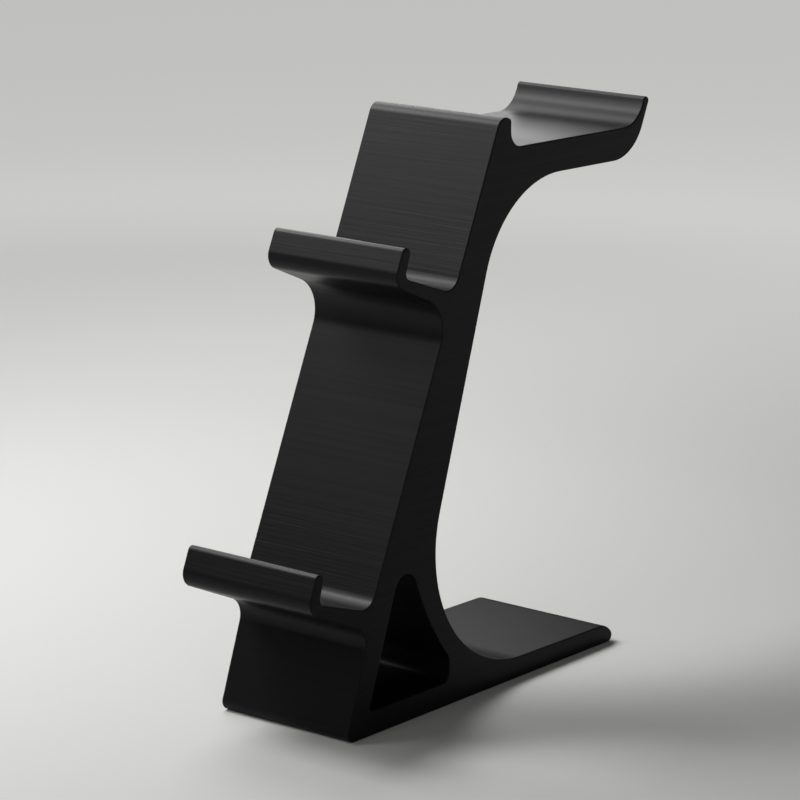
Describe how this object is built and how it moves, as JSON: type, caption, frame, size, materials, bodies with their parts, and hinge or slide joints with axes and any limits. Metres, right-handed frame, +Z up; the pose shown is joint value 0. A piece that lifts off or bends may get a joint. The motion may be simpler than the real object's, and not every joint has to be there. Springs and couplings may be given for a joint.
{
  "type": "controller and headset stand",
  "caption": "One-piece leaning stand: lipped trays on its front hold game controllers, a hooked arm at the top holds a headset, and a long flat foot reaches back.",
  "frame": {"origin": "middle of the foot's flat underside, half-way from toe to heel and from side to side", "axes": "+X to the right seen from the front, +Y to the rear along the foot, +Z up"},
  "size_m": [0.07, 0.2303, 0.2484],
  "materials": {
    "black_plastic": "matte black printed plastic with fine level layer lines"
  },
  "bodies": {
    "root": {"stand": "black_plastic"}
  },
  "joints": []
}
